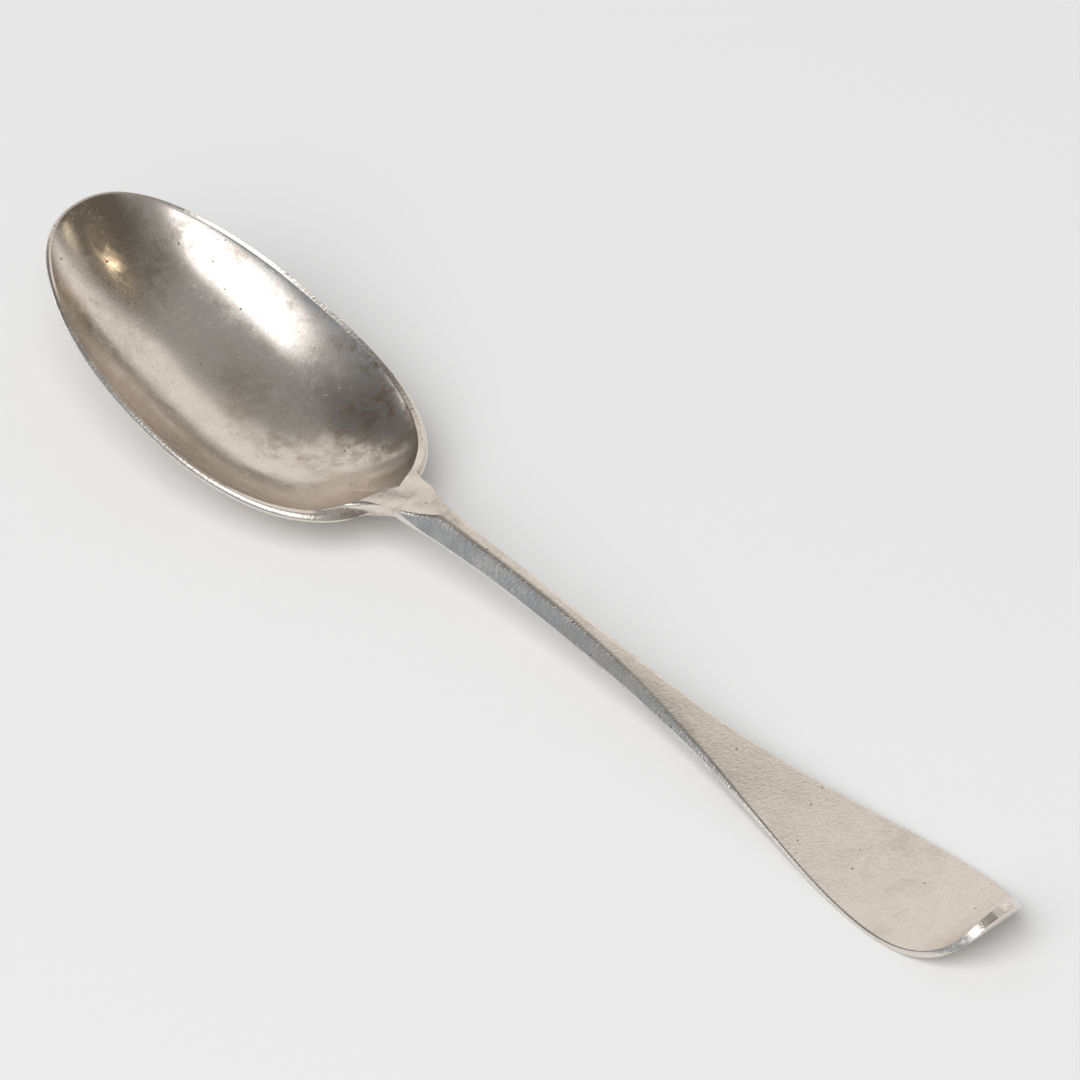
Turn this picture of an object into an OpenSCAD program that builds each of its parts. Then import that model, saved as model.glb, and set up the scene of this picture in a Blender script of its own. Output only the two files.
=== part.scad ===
// Old silver teaspoon: a raised egg-shaped bowl, a forged stem that flattens into a broad end
// with a turned-up lip, and a heel drop soldered under the neck.
// The spoon lies along X, bowl at -X, standing on z = 0 under the middle of its length.

/* [Whole spoon] */
// Length over all, from the tip of the bowl to the lip
spoon_length = 128; // [122:0.5:138]

/* [Bowl] */
// Length of the bowl along the spoon
bowl_length = 46; // [42:0.5:50]
// Width of the bowl at its widest
bowl_width = 25.7; // [23:0.1:29]
// How much wider the bowl is towards the stem, as a share of its width
egg_share = 0.07; // [0:0.01:0.12]
// Depth of the hollow below the rim
bowl_depth = 6.7; // [5.7:0.2:7.7]
// Thickness of the bowl's metal
bowl_wall = 0.9; // [0.7:0.05:1.2]
// Width of the band round the rim at the bowl's tip
tip_band = 0.45; // [0.3:0.05:0.6]
// Width of the band round the rim beside the neck
neck_band = 1; // [0.7:0.05:1.2]
// Thickness left at the rim's outer edge
rim_edge = 0.5; // [0.3:0.05:0.6]
// How far the tip of the rim rises over its middle
tip_rise = 7.2; // [5:0.2:9]
// How far the rim falls from its middle to the neck
neck_fall = 4; // [3:0.2:5]
// Depth worn off the lowest spots of the bowl's back and of the handle's end
worn_depth = 0.08; // [0.04:0.02:0.14]

/* [Neck] */
// Width of the stem where it joins the bowl
neck_width = 5; // [4.6:0.2:6.4]
// Thickness of the neck where it joins the stem
neck_thickness = 1.4; // [1.2:0.1:1.7]
// Height of the stem's section where it swells behind the neck
hump_thickness = 2.3; // [2.1:0.1:2.7]
// Distance from the joint to the thickest place
swell_distance = 4.2; // [3.4:0.2:5.4]
// How far the hump lifts the stem's underside
hump_lift = 0.2; // [0:0.1:0.8]
// Distance from the joint to the highest place of the stem's underside
hump_distance = 1.6; // [1:0.2:4]
// How far the stem's underside stands over the rim at the neck
neck_step = 0.8; // [0.4:0.1:1.6]
// Height of the fold between hollow and stem, over the rim
fold_rise = 2.6; // [2:0.1:3]
// How far the fold reaches to each side
fold_reach = 8; // [6:0.5:9]
// Distance over which the rim's outline turns into the stem's side
neck_blend = 0.8; // [0.6:0.2:2]
// Length of the neck between the bowl's end and the solder
neck_length = 3.2; // [2.6:0.1:4]
// Distance from the fold's crest to the solder
crest_setback = 2; // [1.4:0.1:2.4]
// How far the pointed end of the hollow spreads to each side
point_reach = 5.8; // [4.5:0.1:7]
// Share by which the neck's underside is filled out behind the joint
neck_fullness = 0.9; // [0.5:0.05:1]
// Thickness of the solder between bowl and stem
solder_seam_length = 0.2; // [0.15:0.05:0.4]

/* [Heel drop] */
// How far the drop reaches along the back of the bowl, as a share of the way to its middle
drop_reach = 0.48; // [0.3:0.02:0.5]
// Thickness of the drop at its swell
drop_thickness = 0.7; // [0.4:0.1:0.8]

/* [Stem] */
// Width of the stem at its slimmest
stem_width = 3.25; // [2.8:0.05:3.8]
// Height of the stem's section at its slimmest
stem_thickness = 2.05; // [1.8:0.05:2.6]
// Distance from the neck to the slimmest place
slim_distance = 16; // [12:1:20]
// Thickness of the upright edge along both sides
side_edge = 0.45; // [0.3:0.05:0.6]

/* [Handle end] */
// Width of the handle's end at its widest
end_width = 13.2; // [11:0.2:16]
// Thickness of the flat end
plate_thickness = 0.6; // [0.55:0.05:0.8]
// Thickness of the lip at its end
lip_thickness = 0.95; // [0.8:0.05:1.2]
// Length of the rounded end beyond its widest place, along the metal
end_round_length = 12.3; // [10:0.1:14]
// Length over which the stem widens into the end
flare_length = 52; // [44:1:56]
// Length of the turned-up lip along the metal
lip_length = 13.5; // [12:0.5:18]
// Steepness of the lip at its end, in degrees
lip_angle = 80; // [50:2:84]

/* [Hidden] */

// Counts of steps in the meshes
side_steps = 30;
joint_steps = 8;
dish_rings = 10;
stem_steps = 76;

// Exponents of the curves
rim_power = 2.25;
dish_power = 2.3;
dish_steepness = 0.9;
flare_power = 3.9;
slope_power = 1.9;
lip_power = 2;
end_power = 1.9;
neck_power = 2.5;
fold_power = 2.3;
fold_sharpness = 6;
point_power = 1.3;
back_sharpness = 4;
corner_power = 6;
neck_corner_power = 3;
pairing_power = 5;

// Section of the stem: rise of its lower corners, fall of its top towards the sides, and the run
// of the facets for each millimetre of their height
corner_rise = 0.25;
neck_corner_rise = 0.5;
top_fall = 0.06;
facet_run = 0.62;
facet_softness = 0.35;
least_facet = 0.01;

// Shape of the heel drop
drop_power = 0.6;
drop_edge_share = 0.15;
drop_side_fall = 0.7;

// Places along the spoon, from the tip of the bowl
joint = bowl_length + neck_length;
stem_start = joint + solder_seam_length;
slim_place = joint + slim_distance;
top_rise_length = 1.1 * neck_length;
bottom_rise_length = 1.5 * neck_length;
side_fall_length = 1.4 * neck_length;
corner_fall_length = 1.1 * neck_length;
swell_place = joint + swell_distance;
swell_fall_length = 3 * swell_distance;
thin_length = 2.6 * slim_distance;
hump_place = joint + hump_distance;
hump_rise_length = 3 * hump_distance;
hump_fall_length = 5 * hump_distance;
bowl_middle = bowl_length / 2;
lip_tip_half = 0.5;
lip_parts = 24;
inner_turn = 168;
slope_delay = 1.5;
loop_count = 2 * side_steps + joint_steps;

// Rises from 0 to 1 over s = 0 to 1, level at both ends
function ease(s, power) =
    s <= 0 ? 0 :
    s >= 1 ? 1 :
    pow(s, power) * (1 + power * (1 - s));

function clamp01(s) = min(max(s, 0), 1);

function mix(a, b, share) = a + (b - a) * share;

// The larger of two sizes, rounded over where they are nearly equal
function smooth_max(a, b, size) =
    let(near = max(size - abs(a - b), 0) / size)
    max(a, b) + near * near * size / 4;

function sum(values, i = 0) = i >= len(values) ? 0 : values[i] + sum(values, i + 1);

// Half of an egg-shaped outline: turn is 0 at the tip and 180 at the neck
function egg_place(turn, length) =
    bowl_middle - sign(cos(turn)) * pow(abs(cos(turn)), 2 / rim_power) * length / 2;

function egg_half(u, length, width) =
    let(along = (u - bowl_middle) / (length / 2))
    abs(along) >= 1 ? 0 :
    width / 2 * pow(1 - pow(abs(along), rim_power), 1 / rim_power) * (1 + egg_share * along);

// Height of the rim over its middle
function rim_shape(u) =
    let(s = u / bowl_length)
    tip_rise * (1 - s) * (1 - 2 * s) - neck_fall * s * (2 * s - 1);

// Share of the full depth at a share r of the way from the middle to the rim
function dish_share(r) = pow(max(1 - pow(r, dish_power), 0), dish_steepness);

back_depth = bowl_depth + bowl_wall - rim_edge;
lowest_back = min([for (u = [bowl_middle : 0.5 : bowl_length])
    rim_shape(u) - rim_edge - back_depth * dish_share((u - bowl_middle) / bowl_middle)]);
rim_middle_height = -lowest_back - worn_depth;

function rim_height(u) = rim_middle_height + rim_shape(u);

neck_height = rim_height(bowl_length) + neck_step;

// The lip curls up: q runs from 0 to 1 along it, and the run and rise add up its short parts
function lip_slope(q) = lip_angle * pow(clamp01(q), lip_power);

function lip_steps(q) = [for (i = [0.5 : lip_parts]) lip_slope(q * i / lip_parts)];

function lip_run(q) = lip_length * q / lip_parts * sum([for (angle = lip_steps(q)) cos(angle)]);

function lip_rise(q) = lip_length * q / lip_parts * sum([for (angle = lip_steps(q)) sin(angle)]);

// Places past the joint are measured along the metal, so the lip's end lies beyond spoon_length
lip_start = spoon_length - lip_run(1);
metal_end = lip_start + lip_length;
end_wide_place = metal_end - end_round_length;
flare_start = end_wide_place - flare_length;
slope_start = joint + slope_delay * hump_distance;

function lip_share(u) = clamp01((u - lip_start) / lip_length);

function hump_share(u) =
    let(s = u < hump_place ? (hump_place - u) / hump_rise_length : (u - hump_place) / hump_fall_length)
    1 - ease(s, 2);

// Half width of the stem and its end
function stem_half(u) =
    let(
        slim = stem_width / 2,
        neck_part = (neck_width / 2 - slim) * pow(clamp01((slim_place - u) / slim_distance), neck_power),
        end_part = (end_width / 2 - slim) * ease((u - flare_start) / flare_length, flare_power),
        round_share = clamp01((u - end_wide_place) / end_round_length),
        rounding = pow(1 - pow(round_share, end_power), 1 / end_power)
    )
    max((slim + neck_part + end_part) * rounding, lip_tip_half);

// Height of the stem's underside over the table
function stem_under(u) =
    neck_height * ease((lip_start - u) / (lip_start - slope_start), slope_power)
    + hump_lift * hump_share(u)
    - worn_depth
    + lip_rise(lip_share(u));

function stem_thick(u) =
    let(
        before = ease((swell_place - u) / swell_distance, 1),
        after = ease((u - swell_place) / swell_fall_length, 1),
        thinning = ease((u - slim_place) / thin_length, 2)
    )
    hump_thickness
    - (hump_thickness - neck_thickness) * before
    - (hump_thickness - stem_thickness) * after
    - (stem_thickness - plate_thickness) * thinning
    + (lip_thickness - plate_thickness) * lip_share(u);

// 1 at the joint, falling to 0 over a length along the stem
function near_joint(u, length) = 1 - ease((u - joint) / length, 1);

// Thickness of the sides, which is full at the joint and at the lip's end
function side_thick(u) =
    mix(side_edge, neck_thickness, near_joint(u, side_fall_length))
    + (lip_thickness - side_edge) * lip_share(u);

// Thickness over the underside, with v running from -1 to 1 across the stem: nearly level in the
// middle, with a facet of the same slope all along each side
function crown(u, v) =
    let(
        side = side_thick(u),
        facet = max(facet_run * (stem_thick(u) - side) / stem_half(u), least_facet),
        slant = smooth_max((abs(v) - 1 + facet) / facet, 0, facet_softness)
    )
    side + (stem_thick(u) - side) * (1 - slant) * (1 - top_fall * v * v);

function corner(u, v) =
    let(
        near = near_joint(u, corner_fall_length),
        rise = mix(corner_rise * stem_thick(u) / hump_thickness, neck_corner_rise, near)
    )
    rise * pow(abs(v), mix(corner_power, neck_corner_power, near));

// A point of the stem at a height over its underside, square to the metal where the lip curls
function stem_point(u, v, height) =
    let(
        q = lip_share(u),
        along = min(u, lip_start) + lip_run(q),
        slope = lip_slope(q)
    )
    [along - height * sin(slope), stem_half(u) * v, max(stem_under(u) + height * cos(slope), 0)];

// How far a place has passed from the rim's level to the stem's, over a length before the joint
function neck_share(u, length) = ease((u - joint + length) / length, 2);

// Loop round the bowl: the near side from the tip, across the joint, and back along the far side
function loop_side(k) = k <= side_steps ? k : k >= side_steps + joint_steps ? loop_count - k : side_steps;

function loop_across(k) = clamp01((k - side_steps) / joint_steps) * 2 - 1;

function outer_point(k) =
    let(
        u = joint * (1 - cos(180 * loop_side(k) / side_steps)) / 2,
        egg = egg_half(u, bowl_length, bowl_width),
        half = u < bowl_middle ? egg : smooth_max(egg, stem_half(u), neck_blend)
    )
    [u, half * loop_across(k)];

function band_width(turn) = mix(tip_band, neck_band, turn / 180);

// Turn of the hollow's egg that lies beside a place on the outline. The outline is longer than
// the egg, by the neck, and that is made up for mostly beside the neck.
function turn_beside(u) =
    let(
        past_middle = clamp01((u - bowl_middle) / (joint - bowl_middle)),
        extra = joint - egg_place(inner_turn, bowl_length),
        along = (u - extra * pow(past_middle, pairing_power)) / bowl_middle - 1
    )
    acos(-sign(along) * pow(abs(along), rim_power / 2));

// Edge of the hollow, before its end is drawn out to a point
function inner_point(k) =
    let(
        across = loop_across(k),
        turn = loop_side(k) < side_steps ? turn_beside(outer_point(k).x) :
            180 - abs(across) * (180 - inner_turn),
        length = bowl_length - 2 * band_width(turn),
        u = egg_place(turn, length)
    )
    [u, sign(across) * egg_half(u, length, bowl_width - 2 * band_width(turn))];

function edge_top(k) =
    let(
        p = outer_point(k),
        at_joint = stem_under(joint) + crown(joint, loop_across(k))
    )
    mix(rim_height(p.x), at_joint, neck_share(p.x, top_rise_length));

function edge_bottom(k) =
    let(
        p = outer_point(k),
        at_joint = stem_under(joint) + corner(joint, loop_across(k))
    )
    mix(rim_height(p.x) - rim_edge, at_joint, neck_share(p.x, bottom_rise_length));

function fold_height(p) =
    p.x < bowl_middle ? 0 : fold_rise * ease(1 - abs(p.y) / fold_reach, fold_power);

// How far the hollow's end is drawn out towards the neck
function point_length(p) =
    let(
        longest = joint - crest_setback - bowl_length + neck_band,
        share = pow(clamp01(1 - abs(p.y) / point_reach), point_power)
    )
    p.x < bowl_middle ? 0 : longest * share;

function ring_share(j) = sin(90 * j / dish_rings);

function toward_middle(p, r) = [mix(bowl_middle, p.x, r), p.y * r];

function dish_point(k, j) =
    let(
        r = ring_share(j),
        rim = inner_point(k),
        fold_share = pow(r, fold_sharpness),
        p = toward_middle(rim, r) + [point_length(rim) * fold_share, 0]
    )
    [p.x, p.y, rim_height(p.x) + fold_height(rim) * fold_share - bowl_depth * dish_share(r)];

// The back falls away softly behind the joint, where the neck is thick
function back_point(k, j) =
    let(
        r = ring_share(j),
        edge = outer_point(k),
        p = toward_middle(edge, r),
        lift = edge_bottom(k) - rim_height(edge.x) + rim_edge,
        fullness = neck_fullness * neck_share(edge.x, bottom_rise_length) * pow(r, fold_sharpness),
        fall = back_depth * dish_share(r) * (1 - fullness)
    )
    [p.x, p.y, max(rim_height(p.x) - rim_edge + lift * pow(r, back_sharpness) - fall, 0)];

// Joins rows of points into a closed skin; every row has the same count and the rows run from
// one closing point to the other
function skin_faces(rows, count) = [
    for (i = [0 : rows - 2], k = [0 : count - 1])
        let(a = 1 + i * count + k, b = 1 + i * count + (k + 1) % count)
        each [[a, b, b + count], [a, b + count, a + count]]
];

function cap_faces(rows, count) = [
    for (k = [0 : count - 1])
        each [
            [0, 1 + (k + 1) % count, 1 + k],
            [1 + rows * count, 1 + (rows - 1) * count + k, 1 + (rows - 1) * count + (k + 1) % count]
        ]
];

module skin(first, rows, last) {
    count = len(rows[0]);
    points = concat([first], [for (row = rows) each row], [last]);
    translate([-spoon_length / 2, 0, 0])
        polyhedron(points, concat(skin_faces(len(rows), count), cap_faces(len(rows), count)));
}

module bowl() {
    loop = [0 : loop_count - 1];
    inside = [for (j = [1 : dish_rings]) [for (k = loop) dish_point(k, j)]];
    rim_top = [for (k = loop) [outer_point(k).x, outer_point(k).y, edge_top(k)]];
    outside = [for (j = [dish_rings : -1 : 1]) [for (k = loop) back_point(k, j)]];
    color("silver")
        skin(dish_point(0, 0), concat(inside, [rim_top], outside), back_point(0, 0));
}

// One closed section of the stem: over the top and back along the underside
function stem_section(u) =
    let(across = [for (i = [0 : joint_steps]) 2 * i / joint_steps - 1])
    concat(
        [for (v = across) stem_point(u, v, crown(u, v))],
        [for (v = across) stem_point(u, -v, corner(u, v))]
    );

function section_middle(u) = stem_point(u, 0, stem_thick(u) / 2);

module stem_length(places) {
    skin(
        section_middle(places[0]),
        [for (u = places) stem_section(u)],
        section_middle(places[len(places) - 1])
    );
}

module solder_seam() {
    color("gainsboro")
        stem_length([joint, stem_start]);
}

// Stations lie closer together towards the rounded lip
module stem() {
    reach = metal_end - stem_start;
    color("silver")
        stem_length([for (i = [0 : stem_steps]) stem_start + reach * sin(90 * i / stem_steps)]);
}

// Thickness of the drop: thin at the joint, a swell, and a soft step onto the bowl's back
function drop_thick(k, j) =
    let(
        s = (1 - ring_share(j)) / drop_reach,
        across = loop_across(k)
    )
    drop_thickness * mix(drop_edge_share, 1, sin(180 * pow(clamp01(s), drop_power)))
    * (1 - drop_side_fall * across * across);

// The drop lies against the back's own facets, inside the width of the joint
module heel_drop() {
    rings = [for (j = [dish_rings : -1 : 1]) if (1 - ring_share(j) <= drop_reach) j];
    joint_loop = [side_steps : side_steps + joint_steps];
    joint_back = [side_steps + joint_steps : -1 : side_steps];
    rows = [for (j = rings) concat(
        [for (k = joint_back) back_point(k, j)],
        [for (k = joint_loop) back_point(k, j) - [0, 0, drop_thick(k, j)]]
    )];
    middle = side_steps + joint_steps / 2;
    first = back_point(middle, rings[0]) - [0, 0, drop_thick(middle, rings[0]) / 2];
    end_ring = rings[len(rings) - 1];
    last = back_point(middle, end_ring) - [0, 0, drop_thick(middle, end_ring) / 2];
    color("silver")
        skin(first, rows, last);
}

bowl();
solder_seam();
heel_drop();
stem();
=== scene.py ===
import math

import bpy
from mathutils import Matrix, Vector, noise


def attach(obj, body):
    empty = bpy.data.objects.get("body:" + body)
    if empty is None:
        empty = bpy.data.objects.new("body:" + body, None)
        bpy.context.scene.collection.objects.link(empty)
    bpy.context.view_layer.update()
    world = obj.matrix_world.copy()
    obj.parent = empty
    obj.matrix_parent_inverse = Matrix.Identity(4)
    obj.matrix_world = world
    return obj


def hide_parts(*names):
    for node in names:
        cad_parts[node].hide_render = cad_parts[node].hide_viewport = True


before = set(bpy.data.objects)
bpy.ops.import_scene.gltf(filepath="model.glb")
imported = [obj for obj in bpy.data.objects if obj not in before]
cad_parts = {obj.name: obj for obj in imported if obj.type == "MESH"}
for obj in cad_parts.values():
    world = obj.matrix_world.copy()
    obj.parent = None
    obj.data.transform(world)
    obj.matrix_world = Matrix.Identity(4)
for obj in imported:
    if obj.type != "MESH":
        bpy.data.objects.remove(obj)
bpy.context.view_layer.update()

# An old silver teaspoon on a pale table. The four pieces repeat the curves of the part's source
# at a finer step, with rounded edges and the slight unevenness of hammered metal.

MM = 0.001

# Sizes in millimetres, as in the part's source
SPOON_LENGTH = 128
BOWL_LENGTH = 46
BOWL_WIDTH = 25.7
EGG_SHARE = 0.07
BOWL_DEPTH = 6.7
BOWL_WALL = 0.9
TIP_BAND = 0.45
NECK_BAND = 1
RIM_EDGE = 0.5
TIP_RISE = 7.2
NECK_FALL = 4
WORN_DEPTH = 0.08
NECK_WIDTH = 5
NECK_THICKNESS = 1.4
HUMP_THICKNESS = 2.3
SWELL_DISTANCE = 4.2
HUMP_LIFT = 0.2
HUMP_DISTANCE = 1.6
NECK_STEP = 0.8
FOLD_RISE = 2.6
FOLD_REACH = 8
NECK_BLEND = 0.8
NECK_LENGTH = 3.2
CREST_SETBACK = 2
POINT_REACH = 5.8
NECK_FULLNESS = 0.9
SEAM_LENGTH = 0.2
DROP_REACH = 0.48
DROP_THICKNESS = 0.7
STEM_WIDTH = 3.25
STEM_THICKNESS = 2.05
SLIM_DISTANCE = 16
SIDE_EDGE = 0.45
END_WIDTH = 13.2
PLATE_THICKNESS = 0.6
LIP_THICKNESS = 0.95
END_ROUND_LENGTH = 12.3
FLARE_LENGTH = 52
LIP_LENGTH = 13.5
LIP_ANGLE = math.radians(80)

# Exponents of the curves, as in the part's source
RIM_POWER = 2.25
DISH_POWER = 2.3
DISH_STEEPNESS = 0.9
FLARE_POWER = 3.9
SLOPE_POWER = 1.9
LIP_POWER = 2
END_POWER = 1.9
NECK_POWER = 2.5
FOLD_POWER = 2.3
FOLD_SHARPNESS = 6
POINT_POWER = 1.3
BACK_SHARPNESS = 4
CORNER_POWER = 6
NECK_CORNER_POWER = 3
PAIRING_POWER = 5
DROP_POWER = 0.6
DROP_EDGE_SHARE = 0.15
DROP_SIDE_FALL = 0.7

# Heights and shares of the stem's section
CORNER_RISE = 0.25
NECK_CORNER_RISE = 0.5
TOP_FALL = 0.06
FACET_RUN = 0.62
FACET_SOFTNESS = 0.35
LEAST_FACET = 0.01

# Places along the spoon, from the tip of the bowl
BOWL_MIDDLE = BOWL_LENGTH / 2
JOINT = BOWL_LENGTH + NECK_LENGTH
STEM_START = JOINT + SEAM_LENGTH
SLIM_PLACE = JOINT + SLIM_DISTANCE
TOP_RISE_LENGTH = 1.1 * NECK_LENGTH
BOTTOM_RISE_LENGTH = 1.5 * NECK_LENGTH
SIDE_FALL_LENGTH = 1.4 * NECK_LENGTH
CORNER_FALL_LENGTH = 1.1 * NECK_LENGTH
SWELL_PLACE = JOINT + SWELL_DISTANCE
SWELL_FALL_LENGTH = 3 * SWELL_DISTANCE
THIN_LENGTH = 2.6 * SLIM_DISTANCE
HUMP_PLACE = JOINT + HUMP_DISTANCE
HUMP_RISE_LENGTH = 3 * HUMP_DISTANCE
HUMP_FALL_LENGTH = 5 * HUMP_DISTANCE
SLOPE_DELAY = 1.5

# Half the least width at the lip's tip
LIP_TIP_HALF = 0.5
# Turn of the hollow's egg, in degrees, at which its end beside the neck begins
INNER_TURN = 168

# Steps of the skins, finer than the source's
SIDE_STEPS = 120
JOINT_STEPS = 32
DISH_RINGS = 56
BACK_RINGS = 40
STEM_STEPS = 420
SECTION_STEPS = 40
LIP_TABLE_STEPS = 400
DROP_RINGS = 24
BAND_ROWS = 8
EDGE_ROWS = 7
LOOP_COUNT = 2 * SIDE_STEPS + JOINT_STEPS
# How far each row of an end face lies from its edge towards its middle line
END_SHARES = (0.06, 0.3, 0.6, 0.95)

# The rim's band falls towards the hollow: by this share of its width, followed by the dish only
# close to the rim, and fading out before the tip and before the neck
SLANT_SHARE = 0.35
SLANT_SHARPNESS = 14
SLANT_END = 41
SLANT_FADE = 9
# The rim's rounded outer edge: its size, the band's width that this size needs, and its exponent
OUTER_ROUND = 0.36
FULL_ROUND_WIDTH = 0.6
BEVEL_POWER = 1.6

# Unevenness of hammered metal: two sizes of dent, each cut from its own slice of the noise
DENT_SIZE = 6.5
DENT_DEPTH = 0.05
DENT_SLICE = 3.1
RIPPLE_SIZE = 2.2
RIPPLE_DEPTH = 0.010
RIPPLE_SLICE = 7.7
# The dents fade out under this height, so that the worn spots on the table stay flat
DENT_FADE_HEIGHT = 0.5

# Edges sharper than this aren't shaded smooth
SHARP_ANGLE = math.radians(50)
# Least squared length that a division uses
TINY = 1e-9


def clamp01(s):
    return min(max(s, 0), 1)


def mix(a, b, share):
    return a + (b - a) * share


def ease(s, power):
    """Rises from 0 to 1 over s = 0 to 1, level at both ends."""
    s = clamp01(s)
    return s ** power * (1 + power * (1 - s))


def smooth_max(a, b, size):
    near = max(size - abs(a - b), 0) / size
    return max(a, b) + near * near * size / 4


def egg_place(turn, length):
    c = math.cos(math.radians(turn))
    return BOWL_MIDDLE - math.copysign(abs(c) ** (2 / RIM_POWER), c) * length / 2


def egg_half(u, length, width):
    along = (u - BOWL_MIDDLE) / (length / 2)
    if abs(along) >= 1:
        return 0
    return width / 2 * (1 - abs(along) ** RIM_POWER) ** (1 / RIM_POWER) * (1 + EGG_SHARE * along)


def rim_shape(u):
    s = u / BOWL_LENGTH
    return TIP_RISE * (1 - s) * (1 - 2 * s) - NECK_FALL * s * (2 * s - 1)


def dish_share(r):
    return max(1 - r ** DISH_POWER, 0) ** DISH_STEEPNESS


BACK_DEPTH = BOWL_DEPTH + BOWL_WALL - RIM_EDGE


def back_middle_height(u):
    return rim_shape(u) - RIM_EDGE - BACK_DEPTH * dish_share((u - BOWL_MIDDLE) / BOWL_MIDDLE)


LOWEST_BACK = min(back_middle_height(BOWL_MIDDLE + i / 2) for i in range(BOWL_LENGTH + 1))
RIM_MIDDLE_HEIGHT = -LOWEST_BACK - WORN_DEPTH


def rim_height(u):
    return RIM_MIDDLE_HEIGHT + rim_shape(u)


NECK_HEIGHT = rim_height(BOWL_LENGTH) + NECK_STEP


def lip_slope(q):
    return LIP_ANGLE * clamp01(q) ** LIP_POWER


def lip_table():
    """Run and rise of the curled lip, added up in short parts."""
    run, rise = [0], [0]
    part = LIP_LENGTH / LIP_TABLE_STEPS
    for i in range(LIP_TABLE_STEPS):
        slope = lip_slope((i + 0.5) / LIP_TABLE_STEPS)
        run.append(run[-1] + part * math.cos(slope))
        rise.append(rise[-1] + part * math.sin(slope))
    return run, rise


LIP_RUN, LIP_RISE = lip_table()


def from_table(table, q):
    place = clamp01(q) * LIP_TABLE_STEPS
    i = min(int(place), LIP_TABLE_STEPS - 1)
    return mix(table[i], table[i + 1], place - i)


LIP_START = SPOON_LENGTH - LIP_RUN[-1]
METAL_END = LIP_START + LIP_LENGTH
END_WIDE_PLACE = METAL_END - END_ROUND_LENGTH
FLARE_START = END_WIDE_PLACE - FLARE_LENGTH
SLOPE_START = JOINT + SLOPE_DELAY * HUMP_DISTANCE


def lip_share(u):
    return clamp01((u - LIP_START) / LIP_LENGTH)


def hump_share(u):
    rising = u < HUMP_PLACE
    s = (HUMP_PLACE - u) / HUMP_RISE_LENGTH if rising else (u - HUMP_PLACE) / HUMP_FALL_LENGTH
    return 1 - ease(s, 2)


def stem_half(u):
    slim = STEM_WIDTH / 2
    neck_part = (NECK_WIDTH / 2 - slim) * clamp01((SLIM_PLACE - u) / SLIM_DISTANCE) ** NECK_POWER
    end_part = (END_WIDTH / 2 - slim) * ease((u - FLARE_START) / FLARE_LENGTH, FLARE_POWER)
    round_share = clamp01((u - END_WIDE_PLACE) / END_ROUND_LENGTH)
    rounding = (1 - round_share ** END_POWER) ** (1 / END_POWER)
    return max((slim + neck_part + end_part) * rounding, LIP_TIP_HALF)


def stem_under(u):
    fall = NECK_HEIGHT * ease((LIP_START - u) / (LIP_START - SLOPE_START), SLOPE_POWER)
    return fall + HUMP_LIFT * hump_share(u) - WORN_DEPTH + from_table(LIP_RISE, lip_share(u))


def stem_thick(u):
    thick = HUMP_THICKNESS
    thick -= (HUMP_THICKNESS - NECK_THICKNESS) * ease((SWELL_PLACE - u) / SWELL_DISTANCE, 1)
    thick -= (HUMP_THICKNESS - STEM_THICKNESS) * ease((u - SWELL_PLACE) / SWELL_FALL_LENGTH, 1)
    thick -= (STEM_THICKNESS - PLATE_THICKNESS) * ease((u - SLIM_PLACE) / THIN_LENGTH, 2)
    return thick + (LIP_THICKNESS - PLATE_THICKNESS) * lip_share(u)


def near_joint(u, length):
    return 1 - ease((u - JOINT) / length, 1)


def side_thick(u):
    side = mix(SIDE_EDGE, NECK_THICKNESS, near_joint(u, SIDE_FALL_LENGTH))
    return side + (LIP_THICKNESS - SIDE_EDGE) * lip_share(u)


def crown(u, v):
    side = side_thick(u)
    facet = max(FACET_RUN * (stem_thick(u) - side) / stem_half(u), LEAST_FACET)
    slant = smooth_max((abs(v) - 1 + facet) / facet, 0, FACET_SOFTNESS)
    return side + (stem_thick(u) - side) * (1 - slant) * (1 - TOP_FALL * v * v)


def corner(u, v):
    near = near_joint(u, CORNER_FALL_LENGTH)
    rise = mix(CORNER_RISE * stem_thick(u) / HUMP_THICKNESS, NECK_CORNER_RISE, near)
    return rise * abs(v) ** mix(CORNER_POWER, NECK_CORNER_POWER, near)


def stem_point(u, v, height):
    q = lip_share(u)
    slope = lip_slope(q)
    along = min(u, LIP_START) + from_table(LIP_RUN, q)
    return (
        along - height * math.sin(slope),
        stem_half(u) * v,
        max(stem_under(u) + height * math.cos(slope), 0),
    )


def neck_share(u, length):
    return ease((u - JOINT + length) / length, 2)


# The loop round the bowl runs along the near side from the tip, across the joint and back
def loop_side(k):
    if k <= SIDE_STEPS:
        return k
    return LOOP_COUNT - k if k >= SIDE_STEPS + JOINT_STEPS else SIDE_STEPS


def loop_across(k):
    return clamp01((k - SIDE_STEPS) / JOINT_STEPS) * 2 - 1


def outer_point(k):
    u = JOINT * (1 - math.cos(math.pi * loop_side(k) / SIDE_STEPS)) / 2
    half = egg_half(u, BOWL_LENGTH, BOWL_WIDTH)
    if u >= BOWL_MIDDLE:
        half = smooth_max(half, stem_half(u), NECK_BLEND)
    return u, half * loop_across(k)


def band_width(turn):
    return mix(TIP_BAND, NECK_BAND, turn / 180)


def turn_beside(u):
    """Turn of the hollow's egg that lies beside a place on the outline."""
    past_middle = clamp01((u - BOWL_MIDDLE) / (JOINT - BOWL_MIDDLE))
    extra = JOINT - egg_place(INNER_TURN, BOWL_LENGTH)
    along = (u - extra * past_middle ** PAIRING_POWER) / BOWL_MIDDLE - 1
    return math.degrees(math.acos(-math.copysign(abs(along) ** (RIM_POWER / 2), along)))


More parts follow.
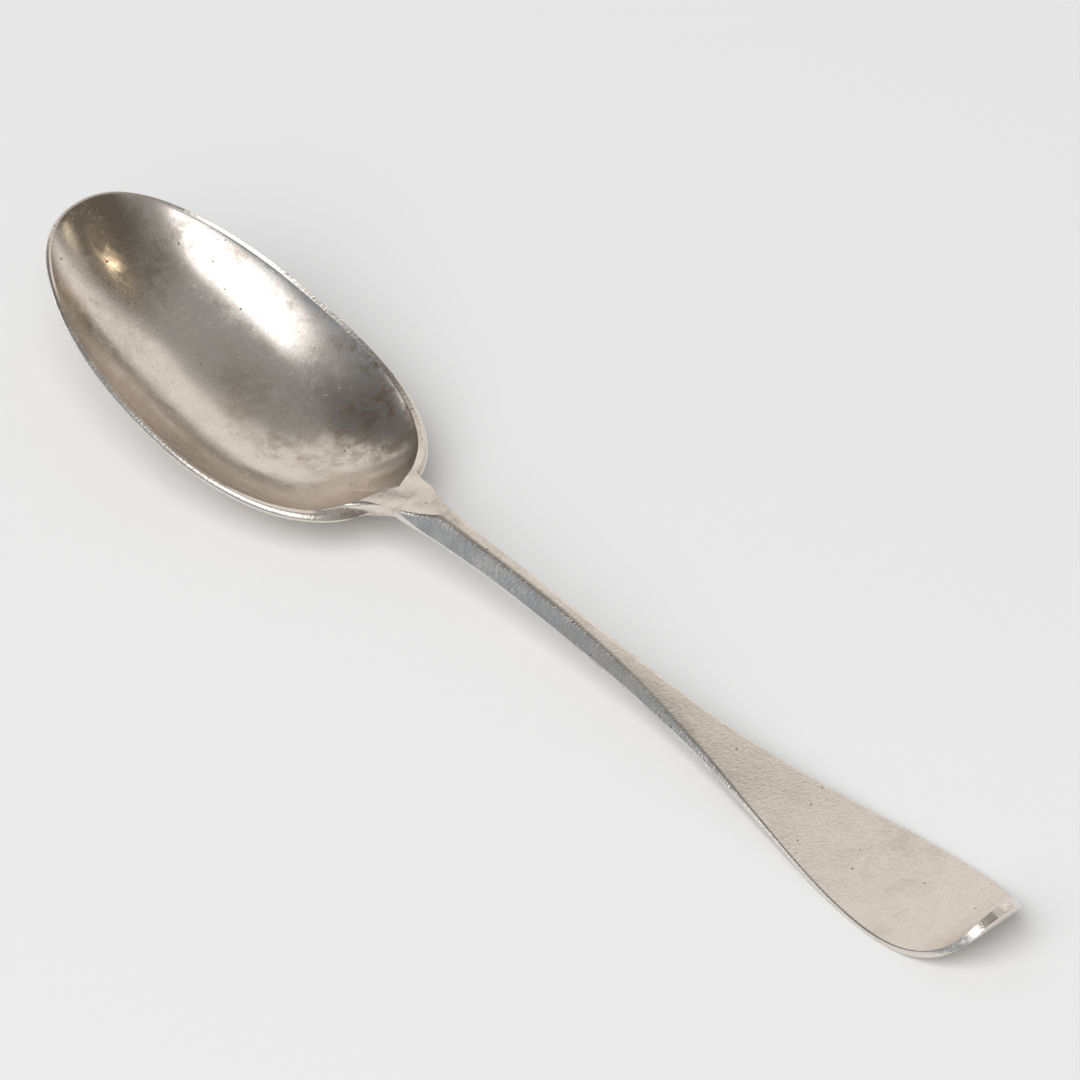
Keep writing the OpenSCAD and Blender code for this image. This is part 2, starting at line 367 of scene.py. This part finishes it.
def inner_point(k):
    across = loop_across(k)
    if loop_side(k) < SIDE_STEPS:
        turn = turn_beside(outer_point(k)[0])
    else:
        turn = 180 - abs(across) * (180 - INNER_TURN)
    band = band_width(turn)
    length = BOWL_LENGTH - 2 * band
    u = egg_place(turn, length)
    return u, math.copysign(egg_half(u, length, BOWL_WIDTH - 2 * band), across) if across else 0


def edge_top(k):
    u = outer_point(k)[0]
    share = neck_share(u, TOP_RISE_LENGTH)
    return mix(rim_height(u), stem_under(JOINT) + crown(JOINT, loop_across(k)), share)


def edge_bottom(k):
    u = outer_point(k)[0]
    share = neck_share(u, BOTTOM_RISE_LENGTH)
    return mix(rim_height(u) - RIM_EDGE, stem_under(JOINT) + corner(JOINT, loop_across(k)), share)


def fold_height(p):
    return 0 if p[0] < BOWL_MIDDLE else FOLD_RISE * ease(1 - abs(p[1]) / FOLD_REACH, FOLD_POWER)


def point_length(p):
    if p[0] < BOWL_MIDDLE:
        return 0
    longest = JOINT - CREST_SETBACK - BOWL_LENGTH + NECK_BAND
    return longest * clamp01(1 - abs(p[1]) / POINT_REACH) ** POINT_POWER


def dish_point(rim, r):
    fold_share = r ** FOLD_SHARPNESS
    u = mix(BOWL_MIDDLE, rim[0], r) + point_length(rim) * fold_share
    z = rim_height(u) + fold_height(rim) * fold_share - BOWL_DEPTH * dish_share(r)
    return u, rim[1] * r, z


def back_point(k, r):
    edge = outer_point(k)
    u = mix(BOWL_MIDDLE, edge[0], r)
    lift = edge_bottom(k) - rim_height(edge[0]) + RIM_EDGE
    fullness = NECK_FULLNESS * neck_share(edge[0], BOTTOM_RISE_LENGTH) * r ** FOLD_SHARPNESS
    z = rim_height(u) - RIM_EDGE + lift * r ** BACK_SHARPNESS
    z -= BACK_DEPTH * dish_share(r) * (1 - fullness)
    return u, edge[1] * r, max(z, 0)


def ring_share(j, count):
    return math.sin(math.pi / 2 * j / count)


def hammered(p):
    """Moves a point up or down a little, alike on both faces of the metal."""
    u, y, z = p
    dent = noise.noise(Vector((u / DENT_SIZE, y / DENT_SIZE, DENT_SLICE)))
    ripple = noise.noise(Vector((u / RIPPLE_SIZE, y / RIPPLE_SIZE, RIPPLE_SLICE)))
    shift = DENT_DEPTH * dent + RIPPLE_DEPTH * ripple
    return u, y, z + shift * clamp01(z / DENT_FADE_HEIGHT)


def skin(name, first, rows, last, second_rows=0):
    """A closed mesh over rows of points, from one closing point to the other. The faces up to
    second_rows have the piece's second material."""
    count = len(rows[0])
    points = [first] + [p for row in rows for p in row] + [last]
    end = len(points) - 1
    faces = []
    slots = []
    for k in range(count):
        n = (k + 1) % count
        faces.append((0, 1 + k, 1 + n))
        slots.append(1 if second_rows else 0)
        for i in range(len(rows) - 1):
            a, b = 1 + i * count + k, 1 + i * count + n
            faces.append((a, a + count, b + count, b))
            slots.append(1 if i < second_rows - 1 else 0)
        faces.append((end, end - count + n, end - count + k))
        slots.append(0)
    mesh = bpy.data.meshes.new(name)
    placed = [((u - SPOON_LENGTH / 2) * MM, y * MM, z * MM) for u, y, z in points]
    mesh.from_pydata(placed, [], faces)
    mesh.polygons.foreach_set("material_index", slots)
    mesh.validate()
    mesh.shade_smooth()
    mesh.set_sharp_from_angle(angle=SHARP_ANGLE)
    piece = bpy.data.objects.new(name, mesh)
    bpy.context.collection.objects.link(piece)
    return piece


def outline_distance(point, outline):
    """Distance from a point to a closed outline, level."""
    least = math.inf
    place = Vector(point[:2])
    for i, end in enumerate(outline):
        start = Vector(outline[i - 1])
        run = Vector(end) - start
        share = clamp01((place - start).dot(run) / max(run.length_squared, TINY))
        least = min(least, (start + run * share - place).length)
    return least


def rim_rows(crests, outer, tops, widths):
    """The rim's band, slanting towards the hollow, and its rounded outer edge."""
    rows = []
    for i in range(1, BAND_ROWS + EDGE_ROWS + 1):
        turn = math.pi / 2 * clamp01((i - BAND_ROWS) / EDGE_ROWS)
        flat_share = clamp01(i / BAND_ROWS)
        row = []
        for crest, edge, top, width in zip(crests, outer, tops, widths):
            freedom = 1 - neck_share(edge[0], BOTTOM_RISE_LENGTH)
            size = OUTER_ROUND * freedom * min(1, width / FULL_ROUND_WIDTH)
            inward = (width - size) * (1 - flat_share) + size * (1 - math.sin(turn) ** BEVEL_POWER)
            s = 1 - inward / width
            z = mix(crest[2], top, s * s if crest[2] > top else s)
            z -= inner_slant(crest, width) * (1 - flat_share) + size * (1 - math.cos(turn) ** BEVEL_POWER)
            row.append((mix(crest[0], edge[0], s), mix(crest[1], edge[1], s), z))
        rows.append(row)
    return rows


def inner_slant(crest, width):
    """How far the band's inner side is lowered, less towards the tip and the neck."""
    fade = clamp01(crest[0] / SLANT_FADE) * clamp01((SLANT_END - crest[0]) / SLANT_FADE)
    return SLANT_SHARE * min(width, NECK_BAND) * fade


def make_bowl():
    loop = range(LOOP_COUNT)
    inner = [inner_point(k) for k in loop]
    outer = [outer_point(k) for k in loop]
    tops = [edge_top(k) for k in loop]
    crests = [dish_point(inner[k], 1) for k in loop]
    widths = [outline_distance(crest, outer) for crest in crests]
    slants = [inner_slant(crests[k], widths[k]) for k in loop]
    rows = []
    for j in range(1, DISH_RINGS + 1):
        r = ring_share(j, DISH_RINGS)
        row = [dish_point(inner[k], r) for k in loop]
        rows.append([(u, y, z - slants[k] * r ** SLANT_SHARPNESS) for k, (u, y, z) in enumerate(row)])
    rows += rim_rows(crests, outer, tops, widths)
    for j in range(BACK_RINGS, 0, -1):
        r = ring_share(j, BACK_RINGS)
        rows.append([back_point(k, r) for k in loop])
    first = dish_point(inner[0], 0)
    last = back_point(0, 0)
    rows = [[hammered(p) for p in row] for row in rows]
    return skin("bowl_skin", hammered(first), rows, hammered(last), DISH_RINGS)


def stem_section(u):
    across = [-math.cos(math.pi * i / SECTION_STEPS) for i in range(SECTION_STEPS + 1)]
    over = [stem_point(u, v, crown(u, v)) for v in across]
    under = [stem_point(u, -v, corner(u, v)) for v in across]
    return over + under


def end_face(row):
    """Rows from a section's edge to the line half way between its top and its bottom."""
    for share in END_SHARES:
        yield [tuple(mix(a, (a + b) / 2, share) for a, b in zip(p, q)) for p, q in zip(row, row[::-1])]


def stem_length(name, places):
    rows = [[hammered(p) for p in stem_section(u)] for u in places]
    rows += end_face(rows[-1])
    first = hammered(stem_point(places[0], 0, stem_thick(places[0]) / 2))
    last = hammered(stem_point(places[-1], 0, stem_thick(places[-1]) / 2))
    return skin(name, first, rows, last)


def make_stem():
    reach = METAL_END - STEM_START
    turns = [math.pi / 2 * i / STEM_STEPS for i in range(STEM_STEPS + 1)]
    return stem_length("stem_skin", [STEM_START + reach * math.sin(turn) for turn in turns])


def make_heel_drop():
    """The drop under the neck: a swelling layer on the bowl's back, from the joint inwards."""
    joint_loop = range(SIDE_STEPS, SIDE_STEPS + JOINT_STEPS + 1)
    rows = []
    for i in range(DROP_RINGS + 1):
        s = (1 - math.cos(math.pi * i / DROP_RINGS)) / 2
        r = 1 - DROP_REACH * s
        under = []
        over = []
        for k in joint_loop:
            across = loop_across(k)
            thick = mix(DROP_EDGE_SHARE, 1, math.sin(math.pi * s ** DROP_POWER))
            thick *= DROP_THICKNESS * (1 - DROP_SIDE_FALL * across * across)
            u, y, z = hammered(back_point(k, r))
            over.append((u, y, z))
            under.append((u, y, max(z - thick, 0)))
        rows.append(over[::-1] + under)
    middle = len(joint_loop) // 2
    first = rows[0][middle]
    last = rows[-1][middle]
    return skin("heel_drop_skin", first, rows, last)


bowl = make_bowl()
stem = make_stem()
seam = stem_length("solder_line", [JOINT, STEM_START])
drop = make_heel_drop()

pieces = {
    "bowl": (bowl, "bowl_silver"),
    "solder_seam": (seam, "solder"),
    "heel_drop": (drop, "handle_silver"),
    "stem": (stem, "handle_silver"),
}


# The metal's look is made from nodes in object space, in millimetres

class Nodes:
    """Adds linked nodes to one material or world, so that a look reads as a formula."""

    def __init__(self, tree):
        self.tree = tree

    def add(self, kind, inputs=None, **settings):
        node = self.tree.nodes.new(kind)
        for key, value in settings.items():
            setattr(node, key, value)
        for key, value in (inputs or {}).items():
            if isinstance(value, bpy.types.NodeSocket):
                self.tree.links.new(value, node.inputs[key])
            else:
                node.inputs[key].default_value = value
        return node.outputs[0]

    def math(self, operation, a, b=0.0, clamp=False):
        return self.add("ShaderNodeMath", {0: a, 1: b}, operation=operation, use_clamp=clamp)

    def vector(self, operation, a, b=(0, 0, 0)):
        node = self.add("ShaderNodeVectorMath", {0: a, 1: b}, operation=operation).node
        return node.outputs["Value" if operation in ("LENGTH", "DOT_PRODUCT") else "Vector"]

    def step(self, value, start, end, low=0.0, high=1.0):
        """Goes smoothly from low to high while value goes from start to end."""
        inputs = {"Value": value, "From Min": start, "From Max": end, "To Min": low, "To Max": high}
        return self.add("ShaderNodeMapRange", inputs, interpolation_type="SMOOTHSTEP")

    def mix(self, share, a, b):
        return self.add("ShaderNodeMix", {"Factor": share, 6: a, 7: b}, data_type="RGBA").node.outputs[2]

    def noise(self, place, scale, detail=3.0, roughness=0.5, stretch=(1, 1, 1), turn=0.0):
        moved = self.add("ShaderNodeMapping", {
            "Vector": place,
            "Rotation": (0, 0, math.radians(turn)),
            "Scale": [1 / share for share in stretch],
        }, vector_type="TEXTURE")
        return self.add("ShaderNodeTexNoise", {
            "Vector": moved,
            "Scale": scale,
            "Detail": detail,
            "Roughness": roughness,
        })

    def spot(self, place, centre, radii, soft=0.5):
        """1 inside an ellipsoid, falling to 0 over the soft share of its radii."""
        away = self.vector("DIVIDE", self.vector("SUBTRACT", place, centre), radii)
        return self.step(self.vector("LENGTH", away), 1.0 + soft, 1.0 - soft)


CLEAN_SILVER = (0.86, 0.795, 0.725, 1)
# Tarnish colours, which at the bowl's tip also paint part of a brown reflection
GREY_TARNISH_AND_REFLECTION = (0.42, 0.37, 0.32, 1)
BROWN_TARNISH_AND_REFLECTION = (0.30, 0.225, 0.155, 1)
PIT_COLOUR = (0.10, 0.075, 0.055, 1)
SOLDER_SILVER = (0.8, 0.74, 0.675, 1)

# Noise cells to the millimetre: patches, mottling, fine wear and pits
PATCH_SCALE = 0.11
MOTTLE_SCALE = 0.5
FINE_SCALE = 2.6
PIT_SCALE = 0.85
# Turn in degrees and scale of each set of scratches, and how the noise is stretched for them
SCRATCH_SETS = ((34, 0.5), (-28, 0.62), (81, 0.43))
SCRATCH_STRETCH = (0.22, 14, 14)
# Stretch of the handle's grain, longest along the handle
GRAIN_STRETCH = (4, 2, 2)
# Radius of a pit's dark middle and of its edge, in cells
PIT_MIDDLE = 0.06
PIT_EDGE = 0.13
# Span of chance over which a pit goes from none to whole
PIT_CHOICE_STEP = 0.02

# Share of the tarnish and painted reflection that shows everywhere, and that shows only in speckles
DARKENING_EVEN = 0.2
DARKENING_SPECKLED = 0.8
# Share of grey that fine wear adds, and of the pit's own colour in a pit
FINE_TARNISH = 0.16
PIT_DARKNESS = 0.7

# What mottling takes from the roughness or adds to it, and what tarnish and scratches add
MOTTLE_SMOOTHER = 0.05
MOTTLE_ROUGHER = 0.07
TARNISH_ROUGHER = 0.12
SCRATCH_ROUGHER = 0.1

# Depth of the bump in millimetres, and the marks' shares of it
BUMP_DEPTH = 0.012
FINE_BUMP = 0.22
SCRATCH_BUMP = 0.55
PIT_BUMP = 0.8


def worn_silver(name, dullness, dark_spots, darkening_amount, overall_tarnish=0.5, grain_turn=0.0,
                grain_depth=0.0, pit_density=0.5, base=CLEAN_SILVER):
    """Old silver: tarnished in patches and darkened at given spots, which at the bowl's tip are partly
    tarnish and partly a painted reflection; scratched, pitted and finely uneven.
    """
    material = bpy.data.materials.new(name)
    material.use_nodes = True
    nodes = Nodes(material.node_tree)
    shader = material.node_tree.nodes["Principled BSDF"]
    place = nodes.add("ShaderNodeTexCoord").node.outputs["Object"]
    place = nodes.vector("SCALE", place)
    place.node.inputs["Scale"].default_value = 1 / MM

    patches = nodes.noise(place, PATCH_SCALE)
    mottle = nodes.noise(place, MOTTLE_SCALE, detail=7, roughness=0.68)
    fine = nodes.noise(place, FINE_SCALE, detail=4, roughness=0.6)

    # Fine scratches in three directions, thinned out by patches
    scratches = None
    for turn, scale in SCRATCH_SETS:
        lines = nodes.noise(place, scale, detail=2, stretch=SCRATCH_STRETCH, turn=turn)
        lines = nodes.step(lines, 0.66, 0.72)
        scratches = lines if scratches is None else nodes.math("MAXIMUM", scratches, lines)
    scratches = nodes.math("MULTIPLY", scratches, nodes.step(mottle, 0.45, 0.6))

    # Pits: dark points in some of the cells of a cell pattern, by each cell's random colour
    cells = nodes.add("ShaderNodeTexVoronoi", {"Vector": place, "Scale": PIT_SCALE}).node
    near_centre = nodes.step(cells.outputs["Distance"], PIT_EDGE, PIT_MIDDLE)
    chance = nodes.vector("DOT_PRODUCT", cells.outputs["Color"], (1, 0, 0))
    chosen = nodes.step(chance, 1 - pit_density, 1 - pit_density + PIT_CHOICE_STEP)
    pits = nodes.math("MULTIPLY", near_centre, chosen)

    # Tarnish and painted reflection: the broad patches of tarnish, the given spots, which at the bowl's
    # tip paint part of a reflection, and speckles that break both up
    tarnish_and_painted_reflection = nodes.math("MULTIPLY", nodes.step(patches, 0.5, 0.7), overall_tarnish)
    for centre, radii, strength in dark_spots:
        here = nodes.math("MULTIPLY", nodes.spot(place, centre, radii), strength)
        tarnish_and_painted_reflection = nodes.math("MAXIMUM", tarnish_and_painted_reflection, here)
    speckle = nodes.math("MULTIPLY", nodes.step(mottle, 0.36, 0.66), DARKENING_SPECKLED)
    tarnish_and_painted_reflection = nodes.math("MULTIPLY", tarnish_and_painted_reflection, nodes.math("ADD", speckle, DARKENING_EVEN))
    tarnish_and_painted_reflection = nodes.math("MULTIPLY", tarnish_and_painted_reflection, darkening_amount, clamp=True)

    tarnish_and_reflection_colour = nodes.mix(nodes.step(patches, 0.4, 0.6), GREY_TARNISH_AND_REFLECTION, BROWN_TARNISH_AND_REFLECTION)
    colour = nodes.mix(nodes.step(fine, 0.3, 0.7, 0.0, FINE_TARNISH), base, GREY_TARNISH_AND_REFLECTION)
    colour = nodes.mix(tarnish_and_painted_reflection, colour, tarnish_and_reflection_colour)
    colour = nodes.mix(nodes.math("MULTIPLY", pits, PIT_DARKNESS), colour, PIT_COLOUR)
    shader.inputs["Metallic"].default_value = 1
    material.node_tree.links.new(colour, shader.inputs["Base Color"])

    rough = nodes.step(mottle, 0.3, 0.7, dullness - MOTTLE_SMOOTHER, dullness + MOTTLE_ROUGHER)
    rough = nodes.math("ADD", rough, nodes.math("MULTIPLY", tarnish_and_painted_reflection, TARNISH_ROUGHER))
    rough = nodes.math("ADD", rough, nodes.math("MULTIPLY", scratches, SCRATCH_ROUGHER))
    material.node_tree.links.new(rough, shader.inputs["Roughness"])

    height = nodes.math("MULTIPLY", fine, FINE_BUMP)
    height = nodes.math("SUBTRACT", height, nodes.math("MULTIPLY", scratches, SCRATCH_BUMP))
    height = nodes.math("SUBTRACT", height, nodes.math("MULTIPLY", pits, PIT_BUMP))
    if grain_depth:
        grain = nodes.noise(place, 1.0, detail=2, stretch=GRAIN_STRETCH, turn=grain_turn)
        height = nodes.math("ADD", height, nodes.math("MULTIPLY", grain, grain_depth))
    bump = nodes.add("ShaderNodeBump", {
        "Height": height,
        "Strength": 1.0,
        "Distance": BUMP_DEPTH * MM,
    })
    material.node_tree.links.new(bump, shader.inputs["Normal"])
    return material


# Centre and radii in millimetres from the middle of the spoon, and strength
BOWL_SPOTS = [
    # At the tip: partly tarnish, partly a painted reflection of a brown thing
    ((-58, 3, 12), (5, 5, 6), 1.0),
    ((-29, 7.5, 4), (6, 4.5, 5), 1.0),
    ((-38, 3, 2), (10, 4, 5), 0.6),
    # At the tip too: partly tarnish, partly a painted reflection of a brown thing
    ((-60.5, 0.5, 13), (1.6, 2.2, 3), 1.0),
    ((-52, 10.2, 10.6), (6, 1.1, 1.2), 0.45),
    ((-43, 11.3, 8.2), (6, 1.2, 1.2), 0.5),
    ((-35, 11.3, 6.2), (5, 1.6, 1.6), 1.0),
]
STEM_SPOTS = [
    ((-11.5, 0.8, 7.5), (4.5, 1.5, 1.5), 1.0),
    ((-3, 1.0, 7), (5, 0.8, 2), 0.6),
    ((12, -1.4, 4.5), (8, 0.9, 1.5), 0.7),
    ((22, -1.6, 3.3), (5, 0.9, 1.5), 0.7),
    ((14, 1.6, 4.5), (5, 1, 2), 0.4),
]

hollow_look = worn_silver(
    "worn_hollow_silver",
    dullness=0.19,
    dark_spots=BOWL_SPOTS,
    darkening_amount=1.0,
    overall_tarnish=0.3,
    pit_density=0.25,
)
handle_look = worn_silver(
    "worn_handle_silver",
    dullness=0.22,
    dark_spots=STEM_SPOTS,
    darkening_amount=0.6,
    overall_tarnish=0.4,
    grain_turn=-8,
    grain_depth=2.6,
    pit_density=0.45,
)
LOOKS = {
    "bowl": [handle_look, hollow_look],
    "solder_seam": [worn_silver("solder_silver", 0.28, [], 0.8, base=SOLDER_SILVER)],
    "heel_drop": [worn_silver("worn_drop_silver", 0.25, [], 0.6)],
    "stem": [handle_look],
}

for node_name, (piece, slot_name) in pieces.items():
    for look in LOOKS[node_name]:
        piece.data.materials.append(look)
    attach(piece, "root")
    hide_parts(node_name)


# The stage: a pale floor, a room that reflections see, and a lamp that they don't

FLOOR_COLOUR = (0.8, 0.8, 0.8, 1)
FLOOR_ROUGHNESS = 0.9
FLOOR_SPECULAR = 0.1
# Half the floor's width, in metres
FLOOR_REACH = 1.2


def make_floor():
    mesh = bpy.data.meshes.new("floor")
    corners = [(x * FLOOR_REACH, y * FLOOR_REACH, 0) for x, y in ((-1, -1), (1, -1), (1, 1), (-1, 1))]
    mesh.from_pydata(corners, [], [(0, 1, 2, 3)])
    floor = bpy.data.objects.new("floor", mesh)
    bpy.context.collection.objects.link(floor)
    material = bpy.data.materials.new("floor_white")
    material.use_nodes = True
    shader = material.node_tree.nodes["Principled BSDF"]
    shader.inputs["Base Color"].default_value = FLOOR_COLOUR
    shader.inputs["Roughness"].default_value = FLOOR_ROUGHNESS
    shader.inputs["Specular IOR Level"].default_value = FLOOR_SPECULAR
    mesh.materials.append(material)


make_floor()

# Lens and sensor in millimetres, then the camera's place and nearest view in metres
LENS = 240.47
SENSOR_WIDTH = 36
CAMERA_PLACE = (0.3831, -0.3594, 0.4515)
NEAREST_VIEW = 0.01
# The way the camera looks, and its right-hand side
CAMERA_FORWARD = (-0.5566, 0.5263, -0.6428)
CAMERA_RIGHT = (0.6871, 0.7266, 0)


def make_camera():
    data = bpy.data.cameras.new("camera")
    data.lens = LENS
    data.sensor_width = SENSOR_WIDTH
    data.clip_start = NEAREST_VIEW
    camera = bpy.data.objects.new("camera", data)
    bpy.context.collection.objects.link(camera)
    forward = Vector(CAMERA_FORWARD).normalized()
    right = Vector(CAMERA_RIGHT).normalized()
    up = right.cross(forward)
    turned = Matrix((right, up, -forward)).transposed().to_4x4()
    camera.matrix_world = Matrix.Translation(CAMERA_PLACE) @ turned
    bpy.context.scene.camera = camera


make_camera()

# Even light for every ray that is neither a reflection nor the camera's: it fills the shadows
FILL_LIGHT = (0.42, 0.42, 0.42, 1)

# What reflections see where no patch of the room lies
ROOM_COLOUR = (0.33, 0.325, 0.32, 1)

# Azimuth, half width, lowest and highest elevation, blur, all in degrees, and colour. A later
# patch covers an earlier one.
ROOM = {
    "backdrop": (130, 56, -60, 56, 8, (0.82, 0.79, 0.76)),
    "low backdrop": (110, 36, -60, 8, 5, (0.52, 0.48, 0.44)),
    "bright wall": (111, 9, 10, 17, 2, (1.9, 1.75, 1.6)),
    "dark left": (-149, 25, -60, 62, 8, (0.17, 0.17, 0.175)),
    "left glow": (-144, 11, 0, 17, 4, (1.7, 1.75, 1.85)),
    "dark right": (29, 35, -60, 56, 8, (0.13, 0.115, 0.095)),
    "below window": (-88, 42, -60, 32, 5, (0.30, 0.345, 0.39)),
    "window": (-75, 31, 34, 58, 6, (2.3, 2.32, 2.36)),
    "warm lamp": (46, 2.5, 41, 47, 1.5, (4.5, 3.7, 2.6)),
    "small lamp": (59, 2.5, 22, 26, 1.5, (3.2, 2.8, 2.1)),
}


def make_world():
    """Reflections see the room, the camera sees the floor's grey past its edge, and all other
    rays see the even fill light."""
    world = bpy.data.worlds.new("room")
    bpy.context.scene.world = world
    world.use_nodes = True
    nodes = Nodes(world.node_tree)
    direction = nodes.add("ShaderNodeTexCoord").node.outputs["Generated"]
    level = nodes.vector("NORMALIZE", nodes.vector("MULTIPLY", direction, (1, 1, 0)))
    height = nodes.vector("DOT_PRODUCT", direction, (0, 0, 1))
    colour = ROOM_COLOUR
    for azimuth, half_width, low, high, blur, shade in ROOM.values():
        turn = math.radians(azimuth)
        toward = nodes.vector("DOT_PRODUCT", level, (math.cos(turn), math.sin(turn), 0))
        outer = math.cos(math.radians(half_width + blur))
        inner = math.cos(math.radians(half_width - blur))
        share = nodes.step(toward, outer, inner)
        for limit, sign in ((low, 1), (high, -1)):
            start = math.sin(math.radians(limit - sign * blur))
            end = math.sin(math.radians(limit + sign * blur))
            share = nodes.math("MULTIPLY", share, nodes.step(height, start, end))
        colour = nodes.mix(share, colour, (*shade, 1))
    rays = nodes.add("ShaderNodeLightPath").node.outputs
    colour = nodes.mix(rays["Is Glossy Ray"], FILL_LIGHT, colour)
    colour = nodes.mix(rays["Is Camera Ray"], colour, FLOOR_COLOUR)
    background = world.node_tree.nodes["Background"]
    world.node_tree.links.new(colour, background.inputs["Color"])


make_world()

# The lamp's width and place in metres, and its power in watts
LAMP_SIZE = 3.2
LAMP_POWER = 68
LAMP_PLACE = (0.43, -1.53, 1.92)


def make_lamp():
    """The large soft lamp that makes the floor's shadow. Reflections see the room's window instead."""
    data = bpy.data.lights.new("window_light", "AREA")
    data.shape = "DISK"
    data.size = LAMP_SIZE
    data.energy = LAMP_POWER
    lamp = bpy.data.objects.new("window_light", data)
    bpy.context.collection.objects.link(lamp)
    lamp.location = LAMP_PLACE
    lamp.rotation_euler = (Vector((0, 0, 0)) - lamp.location).to_track_quat("-Z", "Y").to_euler()
    lamp.visible_glossy = False
    lamp.visible_camera = False


make_lamp()

bpy.context.scene.view_settings.view_transform = "Standard"
